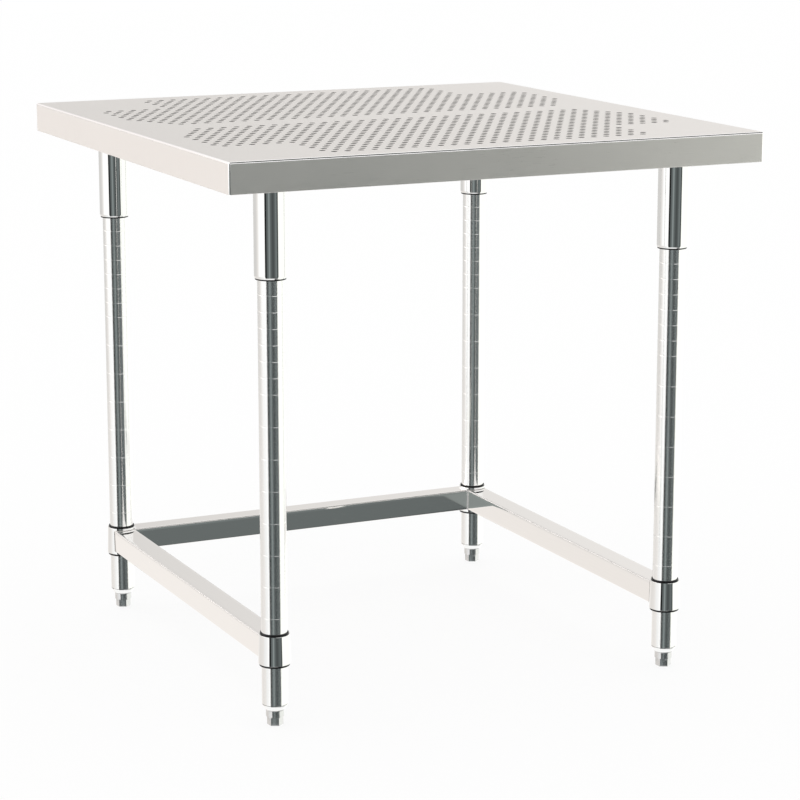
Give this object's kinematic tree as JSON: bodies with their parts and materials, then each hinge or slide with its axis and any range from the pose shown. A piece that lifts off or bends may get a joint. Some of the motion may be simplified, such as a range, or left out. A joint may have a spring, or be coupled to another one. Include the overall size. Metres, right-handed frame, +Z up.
{
  "type": "stainless steel work table",
  "caption": "Square stainless steel work table with a perforated top, round grooved posts, a lower frame open at the front, and levelling feet.",
  "frame": {"origin": "on the floor, under the centre of the top", "axes": "+X to the right along the front edge, +Y to the back rail, +Z up; the frame is open on the -Y side"},
  "size_m": [0.9144, 0.9144, 0.9028],
  "materials": {
    "top_steel": "satin stainless sheet, grain from left to right",
    "underside_steel": "plain mill stainless",
    "sleeve_steel": "polished stainless tube",
    "post_steel": "polished stainless tube with rolled grooves",
    "post_cap_plastic": "black moulded plastic",
    "split_sleeve_plastic": "black moulded plastic",
    "collar_steel": "polished stainless ring",
    "rail_steel": "polished stainless square tube",
    "insert_chrome": "bright plated",
    "foot_steel": "dull grey zinc plate"
  },
  "bodies": {
    "table": {"top_panel": "top_steel", "mid_channel": "underside_steel", "channel_gusset_front_left": "underside_steel", "channel_gusset_front_right": "underside_steel", "channel_gusset_back_left": "underside_steel", "channel_gusset_back_right": "underside_steel", "corner_plate_front_left": "underside_steel", "corner_plate_front_right": "underside_steel", "corner_plate_back_left": "underside_steel", "corner_plate_back_right": "underside_steel", "upper_sleeve_front_left": "sleeve_steel", "upper_sleeve_front_right": "sleeve_steel", "upper_sleeve_back_left": "sleeve_steel", "upper_sleeve_back_right": "sleeve_steel", "post_front_left": "post_steel", "post_front_right": "post_steel", "post_back_left": "post_steel", "post_back_right": "post_steel", "post_cap_front_left": "post_cap_plastic", "post_cap_front_right": "post_cap_plastic", "post_cap_back_left": "post_cap_plastic", "post_cap_back_right": "post_cap_plastic", "upper_wedge_front_left_a": "split_sleeve_plastic", "upper_wedge_front_left_b": "split_sleeve_plastic", "upper_wedge_front_right_a": "split_sleeve_plastic", "upper_wedge_front_right_b": "split_sleeve_plastic", "upper_wedge_back_left_a": "split_sleeve_plastic", "upper_wedge_back_left_b": "split_sleeve_plastic", "upper_wedge_back_right_a": "split_sleeve_plastic", "upper_wedge_back_right_b": "split_sleeve_plastic", "foot_insert_front_left": "insert_chrome", "foot_insert_front_right": "insert_chrome", "foot_insert_back_left": "insert_chrome", "foot_insert_back_right": "insert_chrome"},
    "lower_frame": {"frame_collar_front_left": "collar_steel", "frame_collar_front_right": "collar_steel", "frame_collar_back_left": "collar_steel", "frame_collar_back_right": "collar_steel", "frame_wedge_front_left_a": "split_sleeve_plastic", "frame_wedge_front_left_b": "split_sleeve_plastic", "frame_wedge_front_right_a": "split_sleeve_plastic", "frame_wedge_front_right_b": "split_sleeve_plastic", "frame_wedge_back_left_a": "split_sleeve_plastic", "frame_wedge_back_left_b": "split_sleeve_plastic", "frame_wedge_back_right_a": "split_sleeve_plastic", "frame_wedge_back_right_b": "split_sleeve_plastic", "rail_left": "rail_steel", "rail_back": "rail_steel", "rail_right": "rail_steel"},
    "foot_front_left": {"levelling_foot_front_left": "foot_steel"},
    "foot_front_right": {"levelling_foot_front_right": "foot_steel"},
    "foot_back_left": {"levelling_foot_back_left": "foot_steel"},
    "foot_back_right": {"levelling_foot_back_right": "foot_steel"}
  },
  "joints": [
    {"name": "frame_height", "type": "slide", "parent": "table", "child": "lower_frame", "axis": [0, 0, 1], "range_m": [0, 0.5334]},
    {"name": "level_front_left", "type": "slide", "parent": "table", "child": "foot_front_left", "axis": [0, 0, -1], "range_m": [0, 0.02]},
    {"name": "level_front_right", "type": "slide", "parent": "table", "child": "foot_front_right", "axis": [0, 0, -1], "range_m": [0, 0.02]},
    {"name": "level_back_left", "type": "slide", "parent": "table", "child": "foot_back_left", "axis": [0, 0, -1], "range_m": [0, 0.02]},
    {"name": "level_back_right", "type": "slide", "parent": "table", "child": "foot_back_right", "axis": [0, 0, -1], "range_m": [0, 0.02]}
  ]
}
